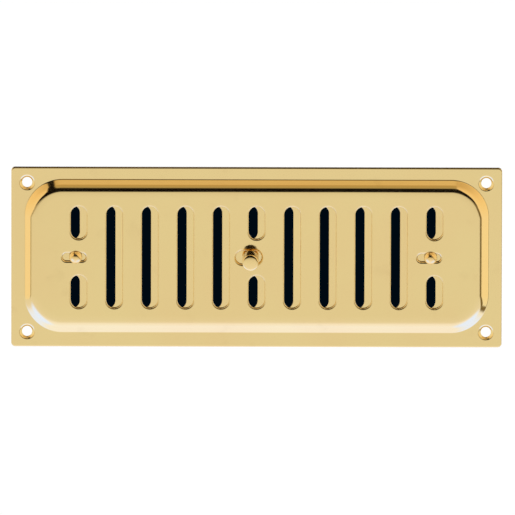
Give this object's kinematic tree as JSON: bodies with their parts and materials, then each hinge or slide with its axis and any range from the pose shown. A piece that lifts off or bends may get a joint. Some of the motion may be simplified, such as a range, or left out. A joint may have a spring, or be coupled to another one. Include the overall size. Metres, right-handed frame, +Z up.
{
  "type": "sliding wall vent",
  "caption": "Slotted wall vent in pressed brass: a raised face plate with upright slots and a slide behind it that a small knob moves sideways to open or close the airway.",
  "frame": {"origin": "Middle of the four screw holes, in the wall plane that the turned-back edge rests on", "axes": "+X to the right along the long side, +Y into the wall, +Z up; the face looks along -Y"},
  "size_m": [0.242, 0.0194, 0.0898],
  "materials": {
    "front_plate": "polished and lacquered pressed sheet",
    "slide_plate": "polished sheet, a little duller than the face plate",
    "knob": "turned and polished",
    "rivets": "domed and polished",
    "washers": "plain stamped"
  },
  "bodies": {
    "face": {"front_plate": "front_plate"},
    "slide": {"slide_plate": "slide_plate", "knob": "knob", "knob_washer": "washers", "left_guide_rivet": "rivets", "right_guide_rivet": "rivets", "left_guide_washer": "washers", "right_guide_washer": "washers"}
  },
  "joints": [
    {"name": "slide_travel", "type": "slide", "parent": "face", "child": "slide", "axis": [1, 0, 0], "range_m": [-0.00465, 0.00315]}
  ]
}
